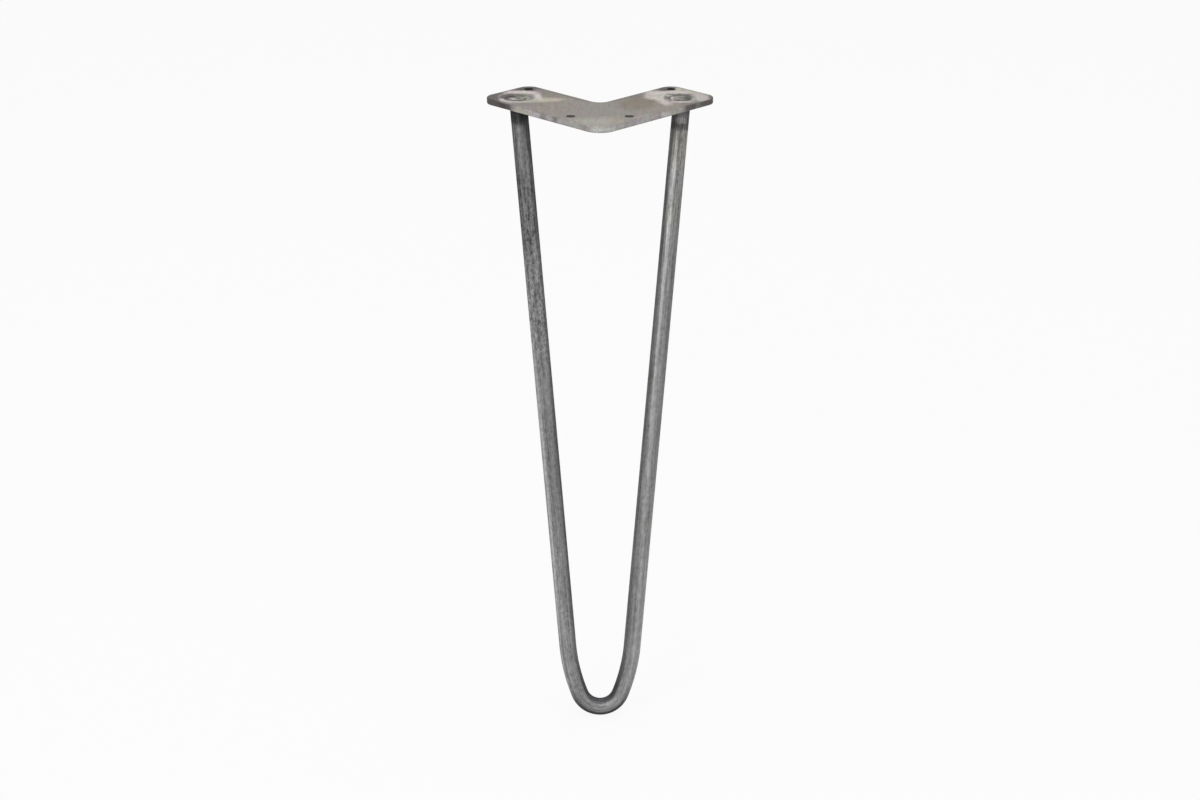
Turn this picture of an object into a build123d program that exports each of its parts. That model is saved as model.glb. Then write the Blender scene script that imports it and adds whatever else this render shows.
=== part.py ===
from build123d import *
import os
from math import acos, atan2, cos, degrees, radians, sin, sqrt, tan

# Driving dimensions, in millimetres and degrees

# Whole leg
height = 356.0               # mounting face down to the floor
lean = 11.5                  # the hairpin's outward lean from the vertical

# Bent rod
rod_d = 10.0
nose_r = 12.8                # centre line of the tight bend at the foot
side_r = 105.0               # centre line of the long curve on each side of it
side_turn = 17.0             # angle that each long curve turns through

# Plate of two square-ended arms that meet at a right angle
plate_t = 3.6
arm_l = 94.5                 # sharp outer corner to the arm's end
arm_w = 37.0
outer_corner_r = 10.5
inner_corner_r = 6.3
end_corner_r = 7.4
edge_break = 0.4             # bevel round both faces

# Screw holes
screw_hole_d = 5.2
screw_inset = 6.8            # hole centre to each edge beside it
front_screw_run = 29.4       # sharp outer corner to the front hole, along the arm

# Sockets that take the rod's ends, and the weld in them
socket_inset = 17.0          # socket centre to the arm's end
socket_side = 12.45          # socket centre to the arm's outer edge
socket_clearance = 0.15      # round the leaning rod where it passes closest
socket_land = 1.0            # straight wall left under the welding groove
groove_angle = 45.0          # groove's wall from the vertical
weld_root = 0.4              # weld metal below the groove
weld_hollow = 0.8            # weld's top below the mounting face

# Worked-out sizes
rod_r = rod_d / 2
screw_hole_r = screw_hole_d / 2
groove_depth = plate_t - socket_land
plate_middle = -plate_t / 2
origin_run = (front_screw_run + screw_inset) / sqrt(2)


def on_arm(side, along, across):
    """Point on the plate from distances along an arm and in from its outer edge.

    The origin is midway between the two front screw holes, +Y points into the V.
    """
    x = side * (along - across) / sqrt(2)
    y = (along + across) / sqrt(2) - origin_run
    return Vector(x, y)


front_screw = on_arm(1, front_screw_run, screw_inset)
rear_screw = on_arm(1, arm_l - screw_inset, arm_w - screw_inset)
socket = on_arm(1, arm_l - socket_inset, socket_side)

# Plane of the hairpin: it leans out from the sockets, and its own Y axis runs up the lean
lean_cos = cos(radians(lean))
lean_sin = sin(radians(lean))
drop = height + plate_middle - rod_r
foot = Vector(0, socket.Y - drop * lean_sin / lean_cos, plate_middle - drop)
hairpin_plane = Plane(origin=foot, x_dir=(1, 0, 0), z_dir=(0, -lean_cos, lean_sin))
socket_up = drop / lean_cos


def bend_for(half_angle):
    """Nose's turn on each side, and the long curve's centre and end, for straights at half_angle."""
    nose_turn = radians(90 - side_turn) - half_angle
    centre = Vector(0, nose_r) + (nose_r - side_r) * Vector(sin(nose_turn), -cos(nose_turn))
    end = centre + side_r * Vector(cos(half_angle), -sin(half_angle))
    return nose_turn, centre, end


# The straights aim from the end of the bend at the sockets, which settles their angle
half_angle = 0.0
for _ in range(30):
    nose_turn, side_centre, bend_end = bend_for(half_angle)
    half_angle = atan2(socket.X - bend_end.X, socket_up - bend_end.Y)

# The socket is square to the plate, so it is wider than the rod that leans through it
rod_tilt = acos(cos(half_angle) * lean_cos)
rod_reach = rod_r / cos(rod_tilt) + plate_t / 2 * tan(rod_tilt)
socket_r = rod_reach + socket_clearance
groove_slope = tan(radians(groove_angle))
groove_r = socket_r + groove_depth * groove_slope


def revolve_socket(profile, side):
    """Turn a closed (radius, height) outline about one socket's axis."""
    turned = revolve(make_face(Plane.XZ * profile), Axis.Z)
    return Pos(side * socket.X, socket.Y) * turned


def build_plate():
    """Flat V plate with its screw holes and grooved sockets."""
    corners = (
        on_arm(1, 0, 0),
        on_arm(1, arm_l, 0),
        on_arm(1, arm_l, arm_w),
        on_arm(1, arm_w, arm_w),
        on_arm(-1, arm_l, arm_w),
        on_arm(-1, arm_l, 0),
    )
    end_radii = (end_corner_r, end_corner_r)
    radii = (outer_corner_r, *end_radii, inner_corner_r, *end_radii)
    outline = make_face(FilletPolyline(*corners, radius=radii, close=True))
    plate = extrude(outline, -plate_t)
    rims = plate.faces().filter_by(Axis.Z).edges()
    plate = chamfer(rims, edge_break)
    socket_profile = Polyline(
        (0, -plate_t),
        (socket_r, -plate_t),
        (socket_r, -groove_depth),
        (groove_r, 0),
        (0, 0),
        close=True,
    )
    screw_hole = Cylinder(screw_hole_r, plate_t)
    for side in (-1, 1):
        for hole in (front_screw, rear_screw):
            plate -= Pos(side * hole.X, hole.Y, plate_middle) * screw_hole
        plate -= revolve_socket(socket_profile, side)
    return plate


def build_rod():
    """One round bar bent into a hairpin, its ends cut flush with the mounting face."""
    beyond = bend_end + (socket_up + rod_d - bend_end.Y) * Vector(tan(half_angle), 1)
    nose_angle = degrees(nose_turn)
    right = Line(bend_end, beyond) + CenterArc(side_centre, side_r, nose_angle - 90, side_turn)
    nose = CenterArc((0, nose_r), nose_r, -90 - nose_angle, 2 * nose_angle)
    centre_line = hairpin_plane * (right + nose + mirror(right, Plane.YZ))
    path = Wire(centre_line.edges())
    section = Plane(origin=path @ 0, z_dir=path % 0) * Circle(rod_r)
    return split(sweep(section, path), Plane.XY, keep=Keep.BOTTOM)


def build_weld(side, rod):
    """Weld metal in a socket's groove round the rod, its top a little below the mounting face."""
    bottom = -groove_depth - weld_root
    top_r = groove_r - weld_hollow * groove_slope
    profile = Polyline(
        (0, -weld_hollow),
        (0, bottom),
        (socket_r, bottom),
        (socket_r, -groove_depth),
        (top_r, -weld_hollow),
        close=True,
    )
    return revolve_socket(profile, side) - rod


hairpin_rod = build_rod()
pieces = {
    "mounting_plate": build_plate(),
    "hairpin_rod": hairpin_rod,
    "weld_left": build_weld(-1, hairpin_rod),
    "weld_right": build_weld(1, hairpin_rod),
}

os.makedirs("parts", exist_ok=True)
for name, piece in pieces.items():
    export_step(piece, f"parts/{name}.step")
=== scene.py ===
"""Looks for a bare steel hairpin table leg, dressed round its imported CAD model.

The plate keeps its CAD mesh and gets a finish. The bent rod and its two welds are new pieces that stand
for their CAD nodes: the rod carries its coordinates from before it was bent, so that its drawing marks
follow the bend.
"""

import logging
import math
from abc import ABC, abstractmethod
from dataclasses import dataclass, replace
from enum import Enum
from typing import Any

import bmesh
import bpy
from mathutils import Matrix, Vector

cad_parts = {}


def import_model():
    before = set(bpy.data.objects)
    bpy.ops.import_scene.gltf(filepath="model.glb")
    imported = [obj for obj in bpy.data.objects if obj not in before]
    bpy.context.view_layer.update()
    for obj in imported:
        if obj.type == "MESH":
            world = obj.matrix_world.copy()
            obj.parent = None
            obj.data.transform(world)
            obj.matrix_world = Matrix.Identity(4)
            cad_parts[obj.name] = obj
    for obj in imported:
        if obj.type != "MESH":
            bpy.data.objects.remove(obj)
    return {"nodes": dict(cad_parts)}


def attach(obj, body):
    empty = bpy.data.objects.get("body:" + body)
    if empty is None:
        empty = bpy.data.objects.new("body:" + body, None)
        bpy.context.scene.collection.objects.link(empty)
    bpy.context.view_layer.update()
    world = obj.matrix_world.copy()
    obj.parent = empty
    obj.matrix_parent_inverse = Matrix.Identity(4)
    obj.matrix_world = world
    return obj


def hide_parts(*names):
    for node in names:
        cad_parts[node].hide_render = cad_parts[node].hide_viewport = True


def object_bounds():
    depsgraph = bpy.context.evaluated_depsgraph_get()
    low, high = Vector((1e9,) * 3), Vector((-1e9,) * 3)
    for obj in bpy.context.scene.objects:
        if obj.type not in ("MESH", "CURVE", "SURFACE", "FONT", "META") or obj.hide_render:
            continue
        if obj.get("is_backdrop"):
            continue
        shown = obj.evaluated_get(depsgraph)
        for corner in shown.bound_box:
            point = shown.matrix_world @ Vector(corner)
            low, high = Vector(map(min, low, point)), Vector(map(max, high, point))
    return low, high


LOG = logging.getLogger("hairpin_leg")

BODY = "root"
BAR_LAYER = "straight_bar"
MM = 0.001
MERGE_DISTANCE = 1e-4  # millimetres
SHARP_ANGLE = 35.0  # degrees
AIM_ROUNDS = 30
IMAGE_WIDTH = 1200  # pixels
SENSOR_WIDTH = 36.0  # millimetres
WHITE = (1.0, 1.0, 1.0, 1.0)
SMOOTH = {"interpolation_type": "SMOOTHSTEP"}
SEEN_RAYS = ("Is Camera Ray", "Is Glossy Ray", "Is Transmission Ray")
RIGHT_THROUGH = 1000.0  # millimetres, depth of a mark

# Centres on the plate's right arm, in millimetres
SOCKET = (45.997, 38.007)
FRONT_SCREW = (15.98, 0.0)
REAR_SCREW = (40.66, 57.77)

Linear = tuple[float, float, float, float]
Axes = tuple[float, float, float]
Pair = tuple[float, float]
Tones = tuple[Linear, Linear]
Output = bpy.types.NodeSocket


def linear_level(level: float) -> float:
    """Linear value of a display level from 0 to 255."""
    share = level / 255
    return share / 12.92 if share <= 0.04045 else ((share + 0.055) / 1.055) ** 2.4


def srgb(red: float, green: float, blue: float) -> Linear:
    """Linear colour, as shaders take it, of a display colour from 0 to 255."""
    return linear_level(red), linear_level(green), linear_level(blue), 1.0


class Value:
    """A number worked out by shader nodes. Python operators on it add Math nodes."""

    def __init__(self, shader: "Shader", socket: Output) -> None:
        """Wrap an output of one of a shader's nodes."""
        self.shader = shader
        self.socket = socket

    def _maths(self, operation: str, first: Any, second: Any) -> "Value":
        """Result of one Math node on two numbers or Values."""
        node = self.shader.node("ShaderNodeMath", {"operation": operation}, {0: first, 1: second})
        return Value(self.shader, node.outputs[0])

    def __add__(self, other: Any) -> "Value":
        """This value plus another."""
        return self._maths("ADD", self, other)

    def __radd__(self, other: Any) -> "Value":
        """A number plus this value."""
        return self._maths("ADD", other, self)

    def __sub__(self, other: Any) -> "Value":
        """This value minus another."""
        return self._maths("SUBTRACT", self, other)

    def __rsub__(self, other: Any) -> "Value":
        """A number minus this value."""
        return self._maths("SUBTRACT", other, self)

    def __mul__(self, other: Any) -> "Value":
        """This value times another."""
        return self._maths("MULTIPLY", self, other)

    def __rmul__(self, other: Any) -> "Value":
        """A number times this value."""
        return self._maths("MULTIPLY", other, self)

    def __abs__(self) -> "Value":
        """This value without its sign."""
        return self._maths("ABSOLUTE", self, 0.0)


class Shader:
    """The node tree of a material or world, filled through one method for every kind of node."""

    def __init__(self, owner: bpy.types.Material | bpy.types.World) -> None:
        """Empty the owner's tree, ready for new nodes.

        Args:
            owner: The material or world.
        """
        owner.use_nodes = True
        self.tree = owner.node_tree
        self.tree.nodes.clear()

    def node(
        self, kind: str, settings: dict[str, Any] | None = None, inputs: dict[Any, Any] | None = None
    ) -> bpy.types.Node:
        """Add a node.

        Args:
            kind: The node's type.
            settings: Its properties, which are set first.
            inputs: Numbers, colours, vectors, outputs or Values for its inputs, by name or place.

        Returns:
            The new node.
        """
        made = self.tree.nodes.new(kind)
        for name, setting in (settings or {}).items():
            setattr(made, name, setting)
        for key, fed in (inputs or {}).items():
            source = fed.socket if isinstance(fed, Value) else fed
            if isinstance(source, Output):
                self.tree.links.new(source, made.inputs[key])
            else:
                made.inputs[key].default_value = source
        return made

    def object_point(self) -> Output:
        """Place on the object, in millimetres."""
        place = self.node("ShaderNodeTexCoord").outputs["Object"]
        return self.scaled(place, (1 / MM, 1 / MM, 1 / MM))

    def bar_point(self) -> Output:
        """Place on the unbent bar, in millimetres: out of the bend, to the front and along it."""
        return self.node("ShaderNodeAttribute", {"attribute_name": BAR_LAYER}).outputs["Vector"]

    def facing_up(self) -> Value:
        """Upward part of the surface's own direction, from -1 to 1."""
        return self.split(self.node("ShaderNodeTexCoord").outputs["Normal"])[2]

    def seen_directly(self) -> Value:
        """1 for what is seen straight on, by reflection or through glass, and 0 for stray light."""
        rays = self.node("ShaderNodeLightPath").outputs
        return self.step(sum(Value(self, rays[kind]) for kind in SEEN_RAYS), 0.4, 0.6)

    def split(self, vector: Output) -> tuple[Value, Value, Value]:
        """The three parts of a vector."""
        parts = self.node("ShaderNodeSeparateXYZ", inputs={0: vector}).outputs
        return Value(self, parts[0]), Value(self, parts[1]), Value(self, parts[2])

    def joined(self, first: Value, second: Value | float = 0.0) -> Output:
        """A flat vector of one or two values."""
        return self.node("ShaderNodeCombineXYZ", inputs={0: first, 1: second}).outputs[0]

    def vectors(self, operation: str, *parts: Any) -> bpy.types.Node:
        """Add one Vector Math node on these vectors."""
        return self.node("ShaderNodeVectorMath", {"operation": operation}, dict(enumerate(parts)))

    def scaled(self, vector: Output, scale: Axes) -> Output:
        """A vector stretched along each axis."""
        return self.vectors("MULTIPLY", vector, scale).outputs[0]

    def distance(self, vector: Output, centre: Axes) -> Value:
        """How far a vector lies from a centre."""
        return Value(self, self.vectors("DISTANCE", vector, centre).outputs["Value"])

    def warped(self, vector: Output, scale: float, reach: float) -> Output:
        """A vector pushed about by noise.

        Args:
            vector: The vector.
            scale: The noise's scale.
            reach: How far it is pushed, from end to end of the noise.

        Returns:
            The pushed vector.
        """
        inputs = {"Vector": vector, "Scale": scale, "Detail": 3.0}
        cloud = self.node("ShaderNodeTexNoise", inputs=inputs).outputs["Color"]
        push = self.vectors("MULTIPLY_ADD", cloud, (reach,) * 3, (-reach / 2,) * 3).outputs[0]
        return self.vectors("ADD", vector, push).outputs[0]

    def step(self, value: Value, low: float, high: float) -> Value:
        """A smooth step from 0 at low to 1 at high, which falls where low is above high."""
        inputs = {"Value": value, "From Min": low, "From Max": high}
        return Value(self, self.node("ShaderNodeMapRange", SMOOTH, inputs).outputs[0])

    def mix(self, factor: Any, first: Any, second: Any, blend: str = "MIX") -> Output:
        """Mix two colours by the second one's share, where a Value stands for a grey."""
        settings = {"data_type": "RGBA", "blend_type": blend}
        return self.node("ShaderNodeMix", settings, {0: factor, 6: first, 7: second}).outputs[2]

    def bump(self, height: Value, strength: float, distance: float) -> Output:
        """Surface direction over relief from 0 to 1, whose height is a distance in metres."""
        inputs = {"Height": height, "Strength": strength, "Distance": distance}
        return self.node("ShaderNodeBump", inputs=inputs).outputs[0]

    def surface(self, inputs: dict[str, Any]) -> None:
        """End a material in one Principled shader with these inputs."""
        principled = self.node("ShaderNodeBsdfPrincipled", inputs=inputs)
        self.node("ShaderNodeOutputMaterial", inputs={"Surface": principled.outputs[0]})


@dataclass(frozen=True)
class Pattern:
    """Cloudy noise over a piece, about 0.5.

    Attributes:
        scale: How many clouds go into a millimetre.
        detail: How many finer layers are added.
        roughness: How strong the finer layers are.
        stretch: Scale along each axis, where the clouds are drawn out.
        contrast: Levels that become 0 and 1, where the clouds are sharpened.
    """

    scale: float
    detail: float = 3.0
    roughness: float = 0.55
    stretch: Axes | None = None
    contrast: Pair | None = None

    def over(self, shader: Shader, point: Output) -> Value:
        """Lay the pattern over a piece.

        Args:
            shader: The piece's shader.
            point: Place on the piece, in millimetres.

        Returns:
            The pattern.
        """
        inputs = {
            "Vector": shader.scaled(point, self.stretch) if self.stretch else point,
            "Scale": self.scale,
            "Detail": self.detail,
            "Roughness": self.roughness,
        }
        clouds = Value(shader, shader.node("ShaderNodeTexNoise", inputs=inputs).outputs[0])
        return shader.step(clouds, *self.contrast) if self.contrast else clouds


class Finish(ABC):
    """A surface finish that makes its own material."""

    name: str

    def material(self) -> bpy.types.Material:
        """Make the finish.

        Returns:
            Its material.
        """
        made = bpy.data.materials.new(self.name)
        self.paint(Shader(made))
        return made

    @abstractmethod
    def paint(self, shader: Shader) -> None:
        """Fill the material's node tree through its shader."""


class Tone(Enum):
    """Colours of the marks on the plate and the bar."""

    BRIGHT = srgb(206, 198, 197)
    PALE = srgb(186, 182, 174)
    TAN = srgb(188, 178, 163)
    # painted highlight: front walls, their upper lip and the right rod under the plate
    LAVENDER_HIGHLIGHT = srgb(194, 191, 194)
    STRAW = srgb(158, 154, 140)
    OLIVE = srgb(124, 115, 98)
    BROWN = srgb(146, 134, 125)
    SMOKE = srgb(116, 109, 110)
    SOOT = srgb(88, 82, 82)
    DARK = srgb(56, 53, 54)
    # painted highlight on the rods
    PAINTED_HIGHLIGHT = srgb(198, 197, 195)
    WORN = srgb(164, 164, 164)
    # dull metal, and painted shade on the rods
    DULL_AND_SHADE = srgb(88, 88, 89)
    # dark scale under the plate, deepened by the plate's painted shadow
    SCALE_AND_SHADOW = srgb(46, 47, 47)
    PURPLE = srgb(62, 54, 58)
    SAGE = srgb(182, 183, 174)


@dataclass(frozen=True)
class Mark:
    """An oval mark on the plate or along the bar, in millimetres and degrees.

    Attributes:
        tone: Its colour.
        centre: Where it lies.
        reach: Half its size along each axis.
        turn: How far it is turned.
        strength: How much of it shows.
        soft: Share of its reach over which it fades.
        rim: Half width of a ring as a share of its reach, or 0 for a whole oval.
        patchy: How much of it is worn away in patches.
    """

    tone: Tone
    centre: Pair
    reach: Pair
    turn: float = 0.0
    strength: float = 0.8
    soft: float = 0.5
    rim: float = 0.0
    patchy: float = 0.0

    def mask(self, shader: Shader, point: Output, patches: Value | None) -> Value:
        """Where the mark is.

        Args:
            shader: The piece's shader.
            point: Place on the piece, in millimetres.
            patches: Where patchy marks are worn away, from 0 to 1, if any are.

        Returns:
            The mark's share, up to its strength.
        """
        inputs = {
            "Vector": point,
            "Location": (*self.centre, 0.0),
            "Rotation": (0.0, 0.0, math.radians(self.turn)),
            "Scale": (*self.reach, RIGHT_THROUGH),
        }
        placed = shader.node("ShaderNodeMapping", {"vector_type": "TEXTURE"}, inputs).outputs[0]
        out = Value(shader, shader.vectors("LENGTH", placed).outputs["Value"])
        if self.rim:
            share = shader.step(abs(out - 1.0), self.rim, self.rim * (1 - self.soft)) * self.strength
        else:
            share = shader.step(out, 1 + self.soft, 1 - self.soft) * self.strength
        return share * (1 - self.patchy * patches) if self.patchy else share

    def on_both_arms(self) -> tuple["Mark", "Mark"]:
        """The mark's mirror image on the left arm, and the mark."""
        return replace(self, centre=(-self.centre[0], self.centre[1]), turn=-self.turn), self


def lay_marks(
    shader: Shader, colour: Output, marks: tuple[Mark, ...], point: Output, patches: Value | None = None
) -> tuple[Output, list[Value]]:
    """Lay marks over a colour, one after another.

    Args:
        shader: The piece's shader.
        colour: The bare colour.
        marks: The marks.
        point: Place on the piece, in millimetres.
        patches: Where patchy marks are worn away, from 0 to 1, if any are.

    Returns:
        The marked colour, and each mark's share.
    """
    shares = [mark.mask(shader, point, patches) for mark in marks]
    for mark, share in zip(marks, shares):
        colour = shader.mix(share, colour, mark.tone.value)
    return colour, shares


# heat marks across the welds and rod ends, with painted shade on the groove's far side, lighter on its
# near side
SOCKET_MARKS_AND_SHADE = (
    Mark(Tone.SMOKE, (-39, 41), (1.2, 6), 10, 0.5),
    Mark(Tone.SOOT, (-47, 44.8), (6.4, 2), 8, 0.62),
    Mark(Tone.BRIGHT, (-45, 31.3), (7, 1.4), 0, 0.6),
    Mark(Tone.SOOT, (-52.6, 41), (3.6, 6), -20, 0.9),
    Mark(Tone.DARK, (-51.8, 41.2), (3.6, 3.4), -20, 0.6),
    Mark(Tone.BRIGHT, (-49, 36.6), (1.7, 2.6), 20, 0.9),
    Mark(Tone.SMOKE, (44, 34.4), (4.5, 1.2), 0, 0.6),
    Mark(Tone.BRIGHT, (46.6, 31.4), (7, 1.5), 0, 0.7),
    Mark(Tone.PALE, (53.6, 38), (1.6, 6), 0, 0.45),
    Mark(Tone.SOOT, (44.5, 45.3), (6.5, 1.8), 0, 0.8),
    Mark(Tone.SOOT, (49.6, 40.2), (2.4, 5.4), 0, 0.65),
    Mark(Tone.SOOT, (38.1, 38.8), (1.7, 5.2), 0, 0.9),
    Mark(Tone.BRIGHT, (40.8, 39.2), (0.9, 2.8), 0, 0.7),
    Mark(Tone.PALE, (42.6, 38.2), (1.5, 4), 0, 0.65),
)


def mark_socket_and_shade(shader: Shader, colour: Output) -> Output:
    """Lay the marks that run across a weld and the rod's end over a colour, with painted shade on the
    groove's far side.
    """
    pushed = shader.warped(shader.object_point(), scale=0.4, reach=1.2)
    return lay_marks(shader, colour, SOCKET_MARKS_AND_SHADE, pushed)[0]


@dataclass(frozen=True)
class PlateFinish(Finish):
    """Bare sheet steel: ground bright round the welds, tinted by their heat, smudged at the ends, with
    painted highlights and shade on its cut edge.
    """

    sockets: tuple[Pair, Pair]
    name: str = "plate_bare_steel"
    face_tones: Tones = (srgb(134, 129, 125), srgb(154, 150, 146))
    wall_tones: Tones = (srgb(141, 138, 137), srgb(165, 162, 162))
    under_tones: Tones = (srgb(88, 86, 86), srgb(120, 117, 115))
    tints: Tones = (srgb(250, 255, 245), srgb(255, 248, 250))
    ground_tones: tuple[Tone, ...] = (Tone.BRIGHT, Tone.TAN)
    facing_top: Pair = (0.45, 0.85)
    facing_under: Pair = (-0.5, -0.9)
    lip_highlight_heights: Pair = (-1.7, -0.6)
    lip_highlight_share: float = 0.4
    swirl_reach: Pair = (23.0, 12.0)
    scratch_turns: Axes = (43.0, -47.0, 4.0)
    scratch_scales: Axes = (1.8, 1.6, 1.2)
    scratch_length: float = 20.0
    metallic: float = 0.85
    relief: Pair = (0.25, 0.00012)
    clouds: Pattern = Pattern(0.1, 4, 0.6)
    patches: Pattern = Pattern(0.22, contrast=(0.42, 0.6))
    mottle: Pattern = Pattern(0.32, 3, 0.65)
    grain: Pattern = Pattern(0.9, 4, 0.75)
    brushed: Pattern = Pattern(0.55, 3, 0.6, (1, 0.12, 1))
    rosy: Pattern = Pattern(0.17, stretch=(1, 0.5, 1), contrast=(0.38, 0.62))
    cut_lines: Pattern = Pattern(1.8, 2, stretch=(1, 1, 0.12))
    bands: Pattern = Pattern(0.8, 2, stretch=(0.1, 0.1, 1))
    grooves: Pattern = Pattern(1.5, 3, 0.7)
    top_marks: tuple[Mark, ...] = (
        Mark(Tone.PALE, (-2, -16), (14, 11), 0, 0.4, 0.6),
        Mark(Tone.PALE, (-4, -8.5), (16, 6), 0, 0.28, 0.6),
        Mark(Tone.STRAW, (9, -8), (5, 9), 0, 0.5, 0.45),
        Mark(Tone.PALE, (25, 0.5), (8, 4), 45, 0.25, 0.6),
        Mark(Tone.BROWN, (-23, 20), (15, 13), -20, 0.6, 0.6, patchy=0.4),
        Mark(Tone.OLIVE, (-28, 45), (8, 5), -40, 0.45, 0.45),
        Mark(Tone.OLIVE, (21, 26.5), (10, 13), -15, 0.85, patchy=0.15),
        Mark(Tone.BROWN, (42, 21), (9, 6), 40, 0.75, 0.45),
        Mark(Tone.BROWN, (31.5, 9.5), (6.5, 3.2), 45, 0.65, 0.45),
        Mark(Tone.SMOKE, (22, 43), (6, 4), 45, 0.7, 0.45),
        Mark(Tone.SMOKE, (-44, 57.5), (14, 6), 25, 0.85, patchy=0.2),
        Mark(Tone.SMOKE, (35.5, 56), (6.4, 4.2), 45, 0.85, 0.45),
        Mark(Tone.BROWN, (-14, 38.5), (11, 2.4), -45, 0.6, 0.45),
        Mark(Tone.BROWN, (13, 36.5), (9, 2), 45, 0.6, 0.45),
        Mark(Tone.SMOKE, (-62, 39), (7, 14), 0, 0.95, 0.3),
        Mark(Tone.SOOT, (-63.5, 39), (7, 11.5), 0, 0.9, 0.4),
        Mark(Tone.SMOKE, (-32, 51), (5, 4), -40, 0.4),
        Mark(Tone.SMOKE, (-42, 24.6), (10, 3.6), 0, 0.34),
        Mark(Tone.SMOKE, (48.6, 25), (5.6, 3.2), 40, 0.55),
        Mark(Tone.OLIVE, (28.5, 31.5), (5.5, 4), 30, 0.4),
        Mark(Tone.BRIGHT, (-45.6, 40.8), (10.7, 10.6), 0, 0.95, 0.7, rim=0.15, patchy=0.45),
        Mark(Tone.SOOT, (-53.6, 41.5), (3.4, 6.5), -20, 0.95),
        Mark(Tone.SOOT, (-48, 46.6), (5, 2), 15, 0.5),
        Mark(Tone.SMOKE, (62.5, 36), (3.4, 9), 0, 0.7),
        Mark(Tone.TAN, (-29.2, 34.2), (9, 4), 8, 0.85, 0.45),
        Mark(Tone.BRIGHT, (-35, 42), (2, 7.5), 10, 0.75),
        Mark(Tone.BRIGHT, (-45, 51), (9.4, 3), -4, 0.95),
        Mark(Tone.BRIGHT, (-52.6, 32.8), (5, 1.7), -50, 0.9),
        Mark(Tone.PALE, (-43.5, 30.6), (6.5, 1.8), 0, 0.75, 0.6),
        Mark(Tone.BRIGHT, (32.2, 43.3), (7, 10), 20, 0.9, 0.3, patchy=0.2),
        Mark(Tone.BRIGHT, (36, 29), (3, 7), 25, 0.75),
        Mark(Tone.BRIGHT, (57, 38.5), (5, 8.4), 15, 0.68, 0.35),
        Mark(Tone.PALE, (46, 54.5), (6, 6), 0, 0.8),
        Mark(Tone.BRIGHT, (42, 50.6), (11, 2.8), 0, 0.85),
        Mark(Tone.SMOKE, (45, 46), (6.5, 1.8), 0, 0.8),
        Mark(Tone.DARK, (-42.2, 58.5), (6.6, 3.8), 12, 0.85, 0.4),
        Mark(Tone.DARK, (37.6, 58), (5.4, 3.2), 45, 0.85, 0.4),
        Mark(Tone.PALE, (45, 57.5), (2.6, 3.4), 0, 0.6),
        Mark(Tone.SOOT, (-36, 61), (5, 2.2), -45, 0.6, 0.45),
        Mark(Tone.SMOKE, (-20, 44.4), (20, 2.2), -45, 0.6),
        Mark(Tone.SMOKE, (14, 38.6), (13, 2.2), 45, 0.6),
        Mark(Tone.SMOKE, (-53, 53.6), (12, 1), 45, 0.7),
        Mark(Tone.SOOT, (-57.8, 46), (3.4, 2.8), 45, 0.55),
        Mark(Tone.PALE, (-52.4, 49.6), (2.4, 1.5), 0, 0.6),
        Mark(Tone.SOOT, (-46, 61.4), (5, 1.5), 45, 0.5),
        Mark(Tone.PALE, (53.4, 48.6), (4.6, 3.4), -45, 0.75),
        Mark(Tone.SMOKE, (53.4, 54), (12, 0.8), -45, 0.5),
        Mark(Tone.SOOT, (37, 39.2), (1.2, 4.6), 0, 0.8),
        Mark(Tone.BRIGHT, (44, 29.6), (7, 1.5), 6, 0.8),
        Mark(Tone.SOOT, (63.6, 40), (2.4, 7), 10, 0.8),
    )
    wall_marks_light_and_shade: tuple[Mark, ...] = (
        # painted highlights on the walls facing the front
        Mark(Tone.LAVENDER_HIGHLIGHT, (0, -8), (42, 20), 0, 0.48, 0.4),
        Mark(Tone.LAVENDER_HIGHLIGHT, (-36, 9), (6, 7), 0, 0.75, 0.45),
        # painted dark reflection on the left end wall, and painted shadow beside the left rod
        Mark(Tone.SOOT, (-62, 36), (10, 22), 0, 0.95, 0.45),
        Mark(Tone.DARK, (-53, 27), (5, 4), 0, 0.7, 0.45),
        Mark(Tone.SOOT, (-31.5, 5.9), (2, 2.6), 0, 0.5, 0.45),
        Mark(Tone.SOOT, (-24.6, -1), (1.6, 2.4), 0, 0.5, 0.45),
        # painted dark reflection on the right end wall, and painted shadow beside the right rod
        Mark(Tone.SOOT, (63, 36), (9, 22), 0, 0.95, 0.45),
        Mark(Tone.DARK, (50.4, 24.6), (5.2, 4.8), 0, 0.7, 0.45),
        Mark(Tone.SMOKE, (16, -9), (4, 5), 0, 0.25, 0.45),
        Mark(Tone.SAGE, (-43, 17), (6, 7), 0, 1.0, 0.45),
        Mark(Tone.SAGE, (43, 17), (6, 6), 0, 0.4, 0.45),
        Mark(Tone.LAVENDER_HIGHLIGHT, (36.5, 10.9), (4, 4), 0, 0.7, 0.45),
        Mark(Tone.LAVENDER_HIGHLIGHT, (0, -24), (12, 7), 0, 1.0, 0.45),
        Mark(Tone.SMOKE, (-8.6, -17.4), (3.4, 4), 0, 0.3, 0.45),
        # painted shade inside the screw holes
        *Mark(Tone.SMOKE, FRONT_SCREW, (3.4, 3.4), 0, 0.9, 0.15).on_both_arms(),
        *Mark(Tone.DARK, REAR_SCREW, (3.4, 3.4), 0, 0.9, 0.15).on_both_arms(),
    )
    under_marks: tuple[Mark, ...] = (
        *Mark(Tone.OLIVE, SOCKET, (15, 15), 0, 0.6, 0.3).on_both_arms(),
        *Mark(Tone.DARK, SOCKET, (10, 10), 0, 0.7, 0.4).on_both_arms(),
    )

    def paint(self, shader: Shader) -> None:
        """Fill the material's node tree.

        Args:
            shader: The material's shader.
        """
        point = shader.object_point()
        clouds = self.clouds.over(shader, point)
        grain = self.grain.over(shader, point)
        patches = self.patches.over(shader, point)
        streaks = self.scratches(shader, point)
        rings = self.swirls(shader, point)
        pushed = shader.warped(shader.warped(point, scale=0.5, reach=1.6), scale=0.12, reach=4.5)

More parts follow.
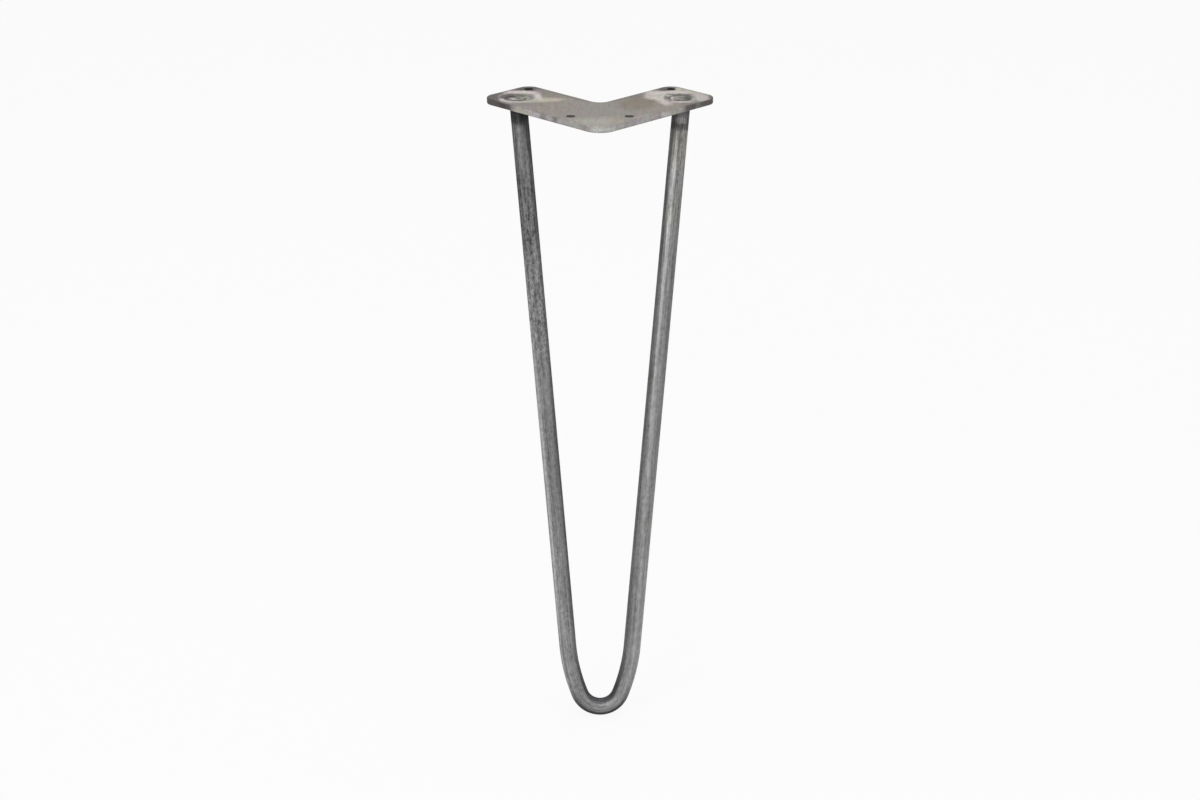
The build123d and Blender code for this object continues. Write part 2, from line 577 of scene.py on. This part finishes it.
        face = shader.mix(clouds, *self.face_tones)
        face, shares = lay_marks(shader, face, self.top_marks, pushed, patches)
        wall = self.wall_colour(shader, point, clouds)
        below = shader.mix(clouds, *self.under_tones)
        below, _ = lay_marks(shader, below, self.under_marks, pushed)
        up = shader.facing_up()
        colour = shader.mix(shader.step(up, *self.facing_top), wall, face)
        colour = shader.mix(shader.step(up, *self.facing_under), colour, below)

        tint = shader.mix(self.rosy.over(shader, point), *self.tints)
        colour = shader.mix(1.0, colour, tint, "MULTIPLY")
        brushed = self.brushed.over(shader, point)
        mottle = self.mottle.over(shader, point)
        wear = -0.29 + 1.1 * grain + 0.36 * streaks + 0.5 * brushed + 0.5 * mottle
        colour = shader.mix(1.0, colour, wear * (0.86 + 0.28 * rings), "MULTIPLY")

        marked = zip(self.top_marks, shares)
        polish = sum(share for mark, share in marked if mark.tone in self.ground_tones)
        height = 0.5 * grain + 0.6 * streaks + 0.3 * rings
        inputs = {
            "Base Color": colour,
            "Metallic": self.metallic,
            "Roughness": 0.5 + 0.16 * (clouds - 0.5) + 0.14 * (grain - 0.5) - 0.06 * polish,
            "Normal": shader.bump(height, *self.relief),
        }
        shader.surface(inputs)

    def wall_colour(self, shader: Shader, point: Output, clouds: Value) -> Output:
        """Colour of the plate's cut edge: a painted highlight along its upper lip, with lines left by
        the cut.

        Args:
            shader: The plate's shader.
            point: Place on the plate, in millimetres.
            clouds: Wide mottling, about 0.5.

        Returns:
            The colour.
        """
        wall = shader.mix(clouds, *self.wall_tones)
        wall, _ = lay_marks(shader, wall, self.wall_marks_light_and_shade, point)
        # painted highlight along the wall's upper lip
        lip = shader.step(shader.split(point)[2], *self.lip_highlight_heights)
        wall = shader.mix(lip * self.lip_highlight_share, wall, Tone.LAVENDER_HIGHLIGHT.value, "SOFT_LIGHT")
        cut_lines = self.cut_lines.over(shader, point)
        bands = self.bands.over(shader, point)
        return shader.mix(1.0, wall, 0.56 + 0.38 * cut_lines + 0.5 * bands, "MULTIPLY")

    def scratches(self, shader: Shader, point: Output) -> Value:
        """Fine straight scratches along both arms.

        Args:
            shader: The plate's shader.
            point: Place on the plate, in millimetres.

        Returns:
            The scratches, about 0.5.
        """
        sets = []
        for turn, scale in zip(self.scratch_turns, self.scratch_scales):
            inputs = {
                "Vector": point,
                "Rotation": (0.0, 0.0, math.radians(turn)),
                "Scale": (1 / self.scratch_length, 1.0, 1.0),
            }
            turned = shader.node("ShaderNodeMapping", inputs=inputs).outputs[0]
            sets.append(Pattern(scale, roughness=0.65).over(shader, turned))
        return sum(sets) * (1 / len(sets))

    def swirls(self, shader: Shader, point: Output) -> Value:
        """Rings that the grinding disc left round both sockets.

        Args:
            shader: The plate's shader.
            point: Place on the plate, in millimetres.

        Returns:
            The rings, about 0.5, and 0.5 away from the sockets.
        """
        sets = []
        for socket in self.sockets:
            distance = shader.distance(point, (*socket, 0.0))
            grooves = self.grooves.over(shader, shader.joined(distance))
            sets.append((grooves - 0.5) * shader.step(distance, *self.swirl_reach))
        return sum(sets, 0.5)


@dataclass
class BarPlace:
    """Where a point lies on the unbent bar, as shader values in millimetres."""

    shader: Shader
    right_start: Pair = (-10.0, 10.0)
    crown_start: Pair = (250.0, 310.0)

    def __post_init__(self) -> None:
        """Work out the values: right is 1 on the right rod, and crown 1 near the plate."""
        self.point = self.shader.bar_point()
        self.outward, _, self.along = self.shader.split(self.point)
        self.from_nose = abs(self.along)
        self.flat = self.shader.joined(self.outward, self.along)
        self.right = self.shader.step(self.along, *self.right_start)
        self.crown = self.shader.step(self.from_nose, *self.crown_start)


@dataclass(frozen=True)
class RodFinish(Finish):
    """Bare drawn bar: streaked lengthwise, with painted shade inside the bend and under the foot, and
    dark heat tint with the plate's painted shadow near the welds.

    Its marks lie on the straight bar: outward from the bend, then along it, below zero on the left rod.
    """

    half_length: float
    name: str = "rod_drawn_steel"
    bar_tones: Tones = (srgb(123, 123, 124), srgb(145, 145, 146))
    left_tone: Linear = srgb(114, 114, 115)
    right_tone: Linear = srgb(162, 161, 160)
    right_share: float = 0.2
    right_top_tone: Linear = srgb(154, 152, 148)
    right_top_share: float = 0.16
    olive_tone: Linear = srgb(144, 140, 126)
    olive_share: float = 0.4
    # painted shade: the inner side of the bend and the underside of the foot's nose
    inside_shade_tone: Linear = srgb(60, 60, 64)
    sole_shade_tone: Linear = srgb(48, 48, 53)
    sole_shade_share: float = 0.88
    end_tones: Tones = (srgb(130, 131, 122), srgb(176, 174, 164))
    edge_tint: Linear = (0.3, 0.3, 0.31, 1.0)
    inside_reach: Pair = (-2.4, -4.8)
    upper_reach: Pair = (60.0, 330.0)
    low_reach: Pair = (46.0, 18.0)
    sole_reach: Pair = (26.0, 6.0)
    sole_side: Pair = (0.4, 3.4)
    rough_middle: float = -272.0
    rough_reach: Pair = (70.0, 26.0)
    end_depths: Pair = (3.4, 2.4)
    facing_end: Pair = (0.9, 0.97)
    metallic: float = 0.85
    relief: Pair = (0.3, 0.0001)
    streaks: Pattern = Pattern(0.7, 3, 0.6, (1, 1, 0.012), (0.32, 0.68))
    hairs: Pattern = Pattern(1.5, 3, 0.6, (1, 1, 0.04), (0.32, 0.68))
    clouds: Pattern = Pattern(0.14, 3, 0.6, (1, 1, 0.3))
    blotches: Pattern = Pattern(0.4, 4, 0.65, (1, 1, 0.25))
    grain: Pattern = Pattern(1.6, 4, 0.75, (1, 1, 0.5))
    speckle: Pattern = Pattern(0.7, 4, 0.7, (1, 1, 0.6), (0.36, 0.64))
    olive: Pattern = Pattern(0.07, 2, stretch=(1, 1, 0.4), contrast=(0.56, 0.7))
    spots: Pattern = Pattern(0.3, 2, contrast=(0.4, 0.6))
    marks: tuple[Mark, ...] = (
        # painted shade on the outer half of the left rod near the plate
        Mark(Tone.DULL_AND_SHADE, (2, -330), (2.4, 70), 0, 0.4),
        Mark(Tone.DULL_AND_SHADE, (0, -306), (12, 21), 0, 0.34, 0.45),
        Mark(Tone.WORN, (-2.5, -245), (4.5, 40), 0, 0.24),
        Mark(Tone.WORN, (1.4, -262), (1.2, 30), 0, 0.26),
        Mark(Tone.WORN, (1.9, -208), (2, 30), 0, 0.24),
        Mark(Tone.DULL_AND_SHADE, (-1.4, -275), (1, 42), 0, 0.18),
        Mark(Tone.DULL_AND_SHADE, (0.1, -205), (1.2, 120), 0, 0.26),
        Mark(Tone.DULL_AND_SHADE, (-3.2, -178), (1.2, 45), 0, 0.2),
        Mark(Tone.DULL_AND_SHADE, (-3.3, -352), (1.5, 16), 0, 0.35),
        # painted highlights along the left rod and on its outer edge
        Mark(Tone.PAINTED_HIGHLIGHT, (0.9, -345), (0.7, 16), 0, 0.12),
        Mark(Tone.PAINTED_HIGHLIGHT, (1.2, -62), (1, 48), 0, 0.16),
        Mark(Tone.PAINTED_HIGHLIGHT, (5.2, -142), (2.3, 122), 0, 0.6),
        Mark(Tone.DULL_AND_SHADE, (0, 264), (6, 48), 0, 0.17),
        # painted shade on the right rod's outer side and on its inner half near the foot
        Mark(Tone.DULL_AND_SHADE, (2.9, 200), (1.2, 190), 0, 0.28),
        Mark(Tone.DULL_AND_SHADE, (-1.7, 78), (1.6, 54), 0, 0.32),
        Mark(Tone.WORN, (1.2, 322), (1.2, 36), 0, 0.36),
        # painted highlights along the right rod: a glint near the plate, and its outer edge near the
        # foot
        Mark(Tone.PAINTED_HIGHLIGHT, (-1.3, 255), (1, 125), 0, 0.3, 0.6),
        Mark(Tone.PAINTED_HIGHLIGHT, (-1.6, 323), (1.5, 36), 0, 0.47),
        Mark(Tone.PAINTED_HIGHLIGHT, (-0.2, 150), (0.9, 36), 0, 0.1),
        Mark(Tone.PAINTED_HIGHLIGHT, (0.8, 70), (0.9, 55), 0, 0.18),
        Mark(Tone.PAINTED_HIGHLIGHT, (5.2, 50), (1.8, 90), 0, 0.46),
    )
    # heat tint below the plate; its dark bands also hold the plate's painted shadow
    heat_tint_and_shadow_marks: tuple[Mark, ...] = (
        Mark(Tone.SMOKE, (2.3, -325), (2.2, 36), 0, 0.36),
        Mark(Tone.SCALE_AND_SHADOW, (0, -367), (9, 14.5), 0, 0.88, 0.16),
        Mark(Tone.SCALE_AND_SHADOW, (-4.4, -350), (1.6, 14), 0, 0.3),
        Mark(Tone.STRAW, (0, 342), (9, 12), 0, 0.36),
        Mark(Tone.PURPLE, (0, 367), (9, 17), 0, 0.52, 0.18),
        Mark(Tone.PURPLE, (0, 351.8), (9, 2.2), 0, 0.5),
        Mark(Tone.SCALE_AND_SHADOW, (1.4, 365.4), (9, 6), 0, 0.5, 0.35),
        # painted highlight on the right rod just under the plate
        Mark(Tone.LAVENDER_HIGHLIGHT, (0.3, 355.2), (3, 1.5), 0, 0.24),
    )

    def paint(self, shader: Shader) -> None:
        """Fill the material's node tree.

        Args:
            shader: The material's shader.
        """
        place = BarPlace(shader)
        streaks = self.streaks.over(shader, place.point)
        hairs = self.hairs.over(shader, place.point)
        blotches = self.blotches.over(shader, place.point)
        grain = self.grain.over(shader, place.point)
        speckle = self.speckle.over(shader, place.point)

        colour = self.drawn_colour(shader, place)
        colour, _ = lay_marks(shader, colour, self.marks, place.flat)
        pushed = shader.warped(place.flat, scale=0.35, reach=3.0)
        colour, _ = lay_marks(shader, colour, self.heat_tint_and_shadow_marks, pushed)
        colour = self.painted_bend_shade(shader, place, colour)

        rough = shader.step(abs(place.along - self.rough_middle), *self.rough_reach)
        wear = 0.77 + 0.46 * streaks + (0.36 + 0.3 * place.crown) * (hairs - 0.5)
        wear = wear + (0.3 + 0.2 * rough) * (blotches - 0.5)
        wear = wear + (0.4 - 0.08 * place.right + 0.4 * rough) * (speckle - 0.5)
        colour = shader.mix(1.0, colour, wear, "MULTIPLY")

        outer, inner = (self.half_length - depth for depth in self.end_depths)
        near_end = shader.step(place.from_nose, outer, inner)
        cut = shader.step(shader.facing_up(), *self.facing_end) * near_end
        colour = shader.mix(cut, colour, self.end_colour(shader))
        height = 0.7 * streaks + 0.5 * hairs + 0.35 * grain
        inputs = {
            "Base Color": colour,
            "Metallic": self.metallic,
            "Specular Tint": self.edge_tint,
            "Roughness": 0.47 + 0.1 * (streaks - 0.5) + 0.16 * (grain - 0.5),
            "Normal": shader.bump(height, *self.relief),
        }
        shader.surface(inputs)

    def drawn_colour(self, shader: Shader, place: BarPlace) -> Output:
        """Colour of the plain bar: the right rod is a little paler and yellower than the left one.

        Args:
            shader: The rod's shader.
            place: Where a point lies on the bar.

        Returns:
            The colour.
        """
        upper = shader.step(place.from_nose, *self.upper_reach)
        colour = shader.mix(self.clouds.over(shader, place.point), *self.bar_tones)
        colour = shader.mix(place.right * self.right_share, colour, self.right_tone)
        right_top = place.right * upper * self.right_top_share
        colour = shader.mix(right_top, colour, self.right_top_tone)
        colour = shader.mix((1 - place.right) * (0.25 + 0.2 * upper), colour, self.left_tone)
        olive = self.olive.over(shader, place.point)
        return shader.mix(olive * place.right * self.olive_share, colour, self.olive_tone)

    def painted_bend_shade(self, shader: Shader, place: BarPlace, colour: Output) -> Output:
        """Lay painted shade on the bar's inner side and on the sole of the foot.

        Args:
            shader: The rod's shader.
            place: Where a point lies on the bar.
            colour: The bar's colour.

        Returns:
            The colour with the scale.
        """
        # painted shade on the bar's inner side, stronger near the foot and the plate
        inside = shader.step(place.outward - 0.8 * place.right, *self.inside_reach)
        low = shader.step(place.from_nose, *self.low_reach)
        share = inside * (0.42 + 0.14 * place.crown + 0.38 * low)
        colour = shader.mix(share, colour, self.inside_shade_tone)
        # painted shade under the foot's nose
        foot = shader.step(place.from_nose, *self.sole_reach)
        sole = foot * shader.step(place.outward, *self.sole_side)
        return shader.mix(sole * self.sole_shade_share, colour, self.sole_shade_tone)

    def end_colour(self, shader: Shader) -> Output:
        """Colour of the ground ends: spotted, and marked together with the welds, with their painted
        shade.
        """
        spots = self.spots.over(shader, shader.object_point())
        return mark_socket_and_shade(shader, shader.mix(spots, *self.end_tones))


@dataclass(frozen=True)
class WeldFinish(Finish):
    """Bare weld metal, darkened by its own heat, with a dark seam round it."""

    socket: Pair
    name: str = "weld_heat_tinted"
    metal_tones: Tones = (srgb(130, 130, 122), srgb(170, 168, 160))
    heat_tone: Linear = srgb(108, 96, 82)
    heat_share: float = 0.4
    seam_tone: Linear = srgb(66, 58, 55)
    seam_share: float = 0.35
    seam_reach: Pair = (6.6, 7.9)
    metallic: float = 0.8
    relief: Pair = (0.35, 0.0002)
    clouds: Pattern = Pattern(0.35, 3, 0.6)
    grain: Pattern = Pattern(2.2, 4, 0.7)
    heat: Pattern = Pattern(0.22, 2, contrast=(0.5, 0.66))

    def paint(self, shader: Shader) -> None:
        """Fill the material's node tree.

        Args:
            shader: The material's shader.
        """
        point = shader.object_point()
        clouds = self.clouds.over(shader, point)
        grain = self.grain.over(shader, point)
        colour = shader.mix(clouds, *self.metal_tones)
        heat = self.heat.over(shader, point)
        colour = shader.mix(heat * self.heat_share, colour, self.heat_tone)
        on_right_arm = shader.vectors("ABSOLUTE", point).outputs[0]
        seam = shader.step(shader.distance(on_right_arm, (*self.socket, 0.0)), *self.seam_reach)
        colour = shader.mix(seam * self.seam_share, colour, self.seam_tone)
        colour = mark_socket_and_shade(shader, colour)
        colour = shader.mix(1.0, colour, 0.6 + 0.8 * grain, "MULTIPLY")
        inputs = {
            "Base Color": colour,
            "Metallic": self.metallic,
            "Roughness": 0.48 + 0.2 * (grain - 0.5),
            "Normal": shader.bump(grain, *self.relief),
        }
        shader.surface(inputs)


@dataclass(frozen=True)
class FloorFinish(Finish):
    """Matt white studio floor that looks white and keeps a share of the shadow on it."""

    name: str = "floor_matt_white"
    tones: Tones = ((0.93, 0.93, 0.925, 1.0), (0.95, 0.95, 0.945, 1.0))
    clouds: Pattern = Pattern(0.004, 2)
    shadow_share: float = 0.1

    def paint(self, shader: Shader) -> None:
        """Fill the material's node tree.

        Args:
            shader: The material's shader.
        """
        clouds = self.clouds.over(shader, shader.object_point())
        matt = {"Base Color": shader.mix(clouds, *self.tones), "Roughness": 0.85 + 0.1 * (clouds - 0.5)}
        lit = shader.node("ShaderNodeBsdfPrincipled", inputs=matt).outputs[0]
        white = shader.node("ShaderNodeEmission", inputs={"Color": WHITE, "Strength": 1.0}).outputs[0]
        share = shader.seen_directly() * (1 - self.shadow_share)
        both = shader.node("ShaderNodeMixShader", inputs={0: share, 1: lit, 2: white})
        shader.node("ShaderNodeOutputMaterial", inputs={"Surface": both.outputs[0]})


def finished(mesh_from: bmesh.types.BMesh, name: str) -> bpy.types.Object:
    """Turn a bmesh into an object of the scene, smooth but for its sharp edges.

    Args:
        mesh_from: The bmesh, which is freed.
        name: Name of the object and its mesh.

    Returns:
        The new object, at the origin.
    """
    bmesh.ops.recalc_face_normals(mesh_from, faces=mesh_from.faces)
    for face in mesh_from.faces:
        face.smooth = True
    mesh = bpy.data.meshes.new(name)
    mesh_from.to_mesh(mesh)
    mesh_from.free()
    mesh.set_sharp_from_angle(angle=math.radians(SHARP_ANGLE))
    made = bpy.data.objects.new(name, mesh)
    bpy.context.scene.collection.objects.link(made)
    return made


@dataclass
class MountingPlate:
    """The flat V plate. Its CAD mesh is kept, with a finish of its own."""

    node: bpy.types.Object
    finish: PlateFinish

    def dress(self) -> bpy.types.Object:
        """Put the finish on the CAD node.

        Returns:
            The node.
        """
        material = self.finish.material()
        for slot in self.node.material_slots:
            slot.material = material
        return self.node


@dataclass
class HairpinRod:
    """The bent bar, in millimetres and degrees: straight, long curve, tight nose, and back."""

    socket: Pair
    height: float = 356.0
    lean: float = 11.5
    radius: float = 5.0
    nose_radius: float = 12.8
    side_radius: float = 105.0
    side_turn: float = 17.0
    plate_middle: float = -1.8
    facets: int = 64
    nose_steps: int = 30
    side_steps: int = 14
    straight_steps: int = 24

    def __post_init__(self) -> None:
        """Work out the angle of the straights, which aim from the end of the bend at the sockets."""
        lean = math.radians(self.lean)
        self.side_sweep = math.radians(self.side_turn)
        drop = self.height + self.plate_middle - self.radius
        self.foot = Vector((0.0, self.socket[1] - drop * math.tan(lean), self.plate_middle - drop))
        self.nose_centre = Vector((0.0, self.nose_radius, 0.0))
        target = Vector((self.socket[0], drop / math.cos(lean), 0.0))
        swing = self.nose_radius - self.side_radius
        self.half_angle = 0.0
        for _ in range(AIM_ROUNDS):
            self.nose_turn = math.radians(90 - self.side_turn) - self.half_angle
            turned = Vector((math.sin(self.nose_turn), -math.cos(self.nose_turn), 0.0))
            self.side_centre = self.nose_centre + swing * turned
            reach = Vector((math.cos(self.half_angle), -math.sin(self.half_angle), 0.0))
            run = target - (self.side_centre + self.side_radius * reach)
            self.half_angle = math.atan2(run.x, run.y)
        self.bend_length = self.nose_radius * self.nose_turn + self.side_radius * self.side_sweep
        self.half_length = self.bend_length + run.length

    def build(self) -> bpy.types.Object:
        """Model the bar: half of it from its foot to its end, then its mirror image.

        Returns:
            The bar as an object whose vertices carry their place on the straight bar.
        """
        made = bmesh.new()
        layer = made.verts.layers.float_vector.new(BAR_LAYER)
        upright = Matrix.Rotation(math.radians(90), 4, "Y")
        ring = bmesh.ops.create_circle(made, segments=self.facets, radius=self.radius, matrix=upright)
        for vert in ring["verts"]:
            vert[layer] = Vector((-vert.co.y, vert.co.z, 0.0))
        self.extend(made, layer)
        whole = [*made.verts, *made.edges, *made.faces]
        bmesh.ops.mirror(made, geom=whole, axis="X", merge_dist=MERGE_DISTANCE)
        for vert in made.verts:
            if vert.co.x < 0:
                vert[layer] = Vector((vert[layer].x, vert[layer].y, -vert[layer].z))
        self.place(made)
        self.cut_flush(made)
        return finished(made, "hairpin_rod_bent_bar")

    def extend(self, made: bmesh.types.BMesh, layer: bmesh.types.BMLayerItem) -> None:
        """Draw the first ring out through both curves and along the straight.

        Args:
            made: The bar's bmesh, which holds one ring.
            layer: The layer of places on the straight bar.
        """
        along = 0.0
        edges = list(made.edges)
        for centre, radius, turn, steps in (
            (self.nose_centre, self.nose_radius, self.nose_turn, self.nose_steps),
            (self.side_centre, self.side_radius, self.side_sweep, self.side_steps),
        ):
            for _ in range(steps):
                geometry = [*{vert for edge in edges for vert in edge.verts}, *edges]
                last = bmesh.ops.spin(
                    made, geom=geometry, cent=centre, axis=(0.0, 0.0, 1.0), angle=turn / steps, steps=1
                )["geom_last"]
                along += radius * turn / steps
                edges = self.mark_ring(last, layer, along)

        stride = (self.half_length - self.bend_length + 2 * self.radius) / self.straight_steps
        heading = Vector((math.sin(self.half_angle), math.cos(self.half_angle), 0.0))
        for _ in range(self.straight_steps):
            last = bmesh.ops.extrude_edge_only(made, edges=edges)["geom"]
            verts = [part for part in last if isinstance(part, bmesh.types.BMVert)]
            bmesh.ops.translate(made, verts=verts, vec=heading * stride)
            along += stride
            edges = self.mark_ring(last, layer, along)

    @staticmethod
    def mark_ring(
        geometry: list[Any], layer: bmesh.types.BMLayerItem, along: float
    ) -> list[bmesh.types.BMEdge]:
        """Write how far along the bar a new ring lies.

        Args:
            geometry: What an operator made last.
            layer: The layer of places on the straight bar.
            along: Distance along the bar.

        Returns:
            The ring's edges.
        """
        ring = {part for part in geometry if isinstance(part, bmesh.types.BMVert)}
        for vert in ring:
            vert[layer] = Vector((vert[layer].x, vert[layer].y, along))
        edges = [part for part in geometry if isinstance(part, bmesh.types.BMEdge)]
        return [edge for edge in edges if set(edge.verts) <= ring]

    def place(self, made: bmesh.types.BMesh) -> None:
        """Turn the flat hairpin into its leaning plane and bring it to metres.

        Args:
            made: The bar's bmesh.
        """
        turned = Matrix.Rotation(math.radians(90 - self.lean), 4, "X")
        matrix = Matrix.Scale(MM, 4) @ Matrix.Translation(self.foot) @ turned
        bmesh.ops.transform(made, matrix=matrix, verts=made.verts)

    @staticmethod
    def cut_flush(made: bmesh.types.BMesh) -> None:
        """Cut both ends level with the mounting face and close them.

        Args:
            made: The bar's bmesh, in place.
        """
        cut = bmesh.ops.bisect_plane(
            made,
            geom=[*made.verts, *made.edges, *made.faces],
            dist=MERGE_DISTANCE * MM,
            plane_co=(0.0, 0.0, 0.0),
            plane_no=(0.0, 0.0, 1.0),
            clear_outer=True,
        )["geom_cut"]
        rims = [part for part in cut if isinstance(part, bmesh.types.BMEdge)]
        bmesh.ops.edgeloop_fill(made, edges=rims)


@dataclass
class SocketWeld:
    """A ring of weld metal in a socket's groove, with its ripples, in millimetres."""

    name: str
    centre: Pair
    rod_side: float = 4.55
    socket_radius: float = 5.668
    top_radius: float = 8.1
    top_depth: float = 0.16
    groove_depth: float = 2.6
    root_depth: float = 3.0
    dip: float = 0.3
    ripple: float = 0.06
    ripples: int = 26
    ripple_bow: float = 3.2
    ripple_drift: float = 0.7
    unevenness: float = 0.12
    top_cuts: int = 9
    steps: int = 208

    def build(self) -> bpy.types.Object:
        """Model the ring.

        Returns:
            The ring as an object.
        """
        made = bmesh.new()
        outline = (
            (self.rod_side, -self.top_depth),
            (self.top_radius, -self.top_depth),
            (self.socket_radius, -self.groove_depth),
            (self.socket_radius, -self.root_depth),
            (self.rod_side, -self.root_depth),
        )
        corners = [made.verts.new((radius, 0.0, height)) for radius, height in outline]
        edges = [made.edges.new((corners[k - 1], corners[k])) for k in range(len(corners))]
        top = edges[1]
        bmesh.ops.subdivide_edges(made, edges=[top], cuts=self.top_cuts)
        bmesh.ops.spin(
            made,
            geom=[*made.verts, *made.edges],
            cent=(0.0, 0.0, 0.0),
            axis=(0.0, 0.0, 1.0),
            angle=math.tau,
            steps=self.steps,
            use_merge=True,
        )
        bmesh.ops.remove_doubles(made, verts=made.verts, dist=MERGE_DISTANCE)
        for vert in made.verts:
            if vert.co.z > -self.top_depth - MERGE_DISTANCE:
                vert.co.z += self.relief(vert.co)
        matrix = Matrix.Scale(MM, 4) @ Matrix.Translation((*self.centre, 0.0))
        bmesh.ops.transform(made, matrix=matrix, verts=made.verts)
        return finished(made, self.name)

    def relief(self, point: Vector) -> float:
        """Height of the weld's dish and ripples over its flat top.

        Args:
            point: Place on the top, from the ring's centre.

        Returns:
            The height.
        """
        angle = math.atan2(point.y, point.x)
        share = (math.hypot(point.x, point.y) - self.rod_side) / (self.top_radius - self.rod_side)
        bulge = math.sin(math.pi * share)
        drift = self.ripple_drift * math.sin(3 * angle)
        lap = math.sin(self.ripples * angle + self.ripple_bow * bulge + drift)
        uneven = 0.5 * math.sin(2 * angle + self.centre[0]) + 0.3 * math.sin(5 * angle)
        return bulge * (-self.dip + self.ripple * lap + self.unevenness * uneven)


@dataclass(frozen=True)
class SoftLamp:
    """A square soft lamp, in metres and watts."""

    name: str
    place: Axes
    side: float
    power: float

    def hang(self, target: Vector) -> None:
        """Hang the lamp so that it faces a target.

        Args:
            target: What it faces.
        """
        data = bpy.data.lights.new(self.name, "AREA")
        data.shape = "SQUARE"
        data.size = self.side
        data.energy = self.power
        lamp = bpy.data.objects.new(self.name, data)
        lamp.location = self.place
        lamp.rotation_euler = (target - Vector(self.place)).to_track_quat("-Z", "Y").to_euler()
        bpy.context.scene.collection.objects.link(lamp)


@dataclass
class Studio:
    """Floor, soft light and the camera, in metres, degrees and the photograph's pixels."""

    floor_height: float
    floor_half: float = 6.0
    floor_cells: int = 8
    ambient: float = 0.55
    backdrop: float = 0.96
    lamps: tuple[SoftLamp, ...] = (
        SoftLamp("key_softbox", (-0.8, -1.2, 0.9), 1.0, 7.0),
        SoftLamp("fill_softbox", (1.3, -0.9, 0.5), 1.0, 2.0),
        SoftLamp("top_softbox", (0.0, 0.5, 1.3), 1.4, 3.0),
    )
    camera_place: Axes = (0.0, -1.1756, 0.32337)
    camera_pitch: float = 22.68
    focal_pixels: float = 1703.93
    closer: float = 1.3

    def build(self, finish: FloorFinish) -> None:
        """Make the floor, the light and the camera.

        Args:
            finish: The floor's finish.
        """
        self.lay_floor(finish)
        self.light_world()
        for lamp in self.lamps:
            lamp.hang(Vector((0.0, 0.0, self.floor_height / 2)))
        self.set_camera()

    def lay_floor(self, finish: FloorFinish) -> None:
        """Lay the floor under the foot.

        Args:
            finish: The floor's finish.
        """
        made = bmesh.new()
        cells = self.floor_cells
        bmesh.ops.create_grid(made, x_segments=cells, y_segments=cells, size=self.floor_half)
        bmesh.ops.translate(made, verts=made.verts, vec=(0.0, 0.0, self.floor_height))
        floor = finished(made, "studio_floor")
        floor.data.materials.append(finish.material())
        floor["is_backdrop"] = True

    def light_world(self) -> None:
        """Light evenly from all round, over a white background."""
        world = bpy.data.worlds.new("studio_air")
        bpy.context.scene.world = world
        shader = Shader(world)
        strength = self.ambient + shader.seen_directly() * (self.backdrop - self.ambient)
        air = shader.node("ShaderNodeBackground", inputs={"Color": WHITE, "Strength": strength})
        shader.node("ShaderNodeOutputWorld", inputs={"Surface": air.outputs[0]})

    def set_camera(self) -> None:
        """Stand the camera where the photograph was taken from."""
        data = bpy.data.cameras.new("studio_camera")
        data.sensor_width = SENSOR_WIDTH
        data.lens = self.closer * self.focal_pixels / IMAGE_WIDTH * SENSOR_WIDTH
        camera = bpy.data.objects.new("studio_camera", data)
        camera.location = self.camera_place
        camera.rotation_euler = (math.radians(90 - self.camera_pitch), 0.0, 0.0)
        bpy.context.scene.collection.objects.link(camera)
        bpy.context.scene.camera = camera


def main() -> None:
    """Build the leg's pieces in order, then the studio."""
    logging.basicConfig(level=logging.INFO, format="%(name)s: %(message)s")
    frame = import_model()
    cad_low, cad_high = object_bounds()
    bpy.context.scene.view_settings.view_transform = "Standard"

    sockets = ((-SOCKET[0], SOCKET[1]), SOCKET)
    plate = MountingPlate(frame["nodes"]["mounting_plate"], PlateFinish(sockets)).dress()
    LOG.info("dressed %s", plate.name)

    bar = HairpinRod(SOCKET)
    rod = bar.build()
    rod.data.materials.append(RodFinish(bar.half_length).material())
    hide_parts("hairpin_rod")
    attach(rod, BODY)
    LOG.info("built %s with %d faces", rod.name, len(rod.data.polygons))

    weld_metal = WeldFinish(SOCKET).material()
    for node, centre in zip(("weld_left", "weld_right"), sockets):
        weld = SocketWeld(f"{node}_bead", centre).build()
        weld.data.materials.append(weld_metal)
        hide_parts(node)
        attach(weld, BODY)
        LOG.info("built %s with %d faces", weld.name, len(weld.data.polygons))

    Studio(cad_low.z).build(FloorFinish())


if __name__ == "__main__":
    main()
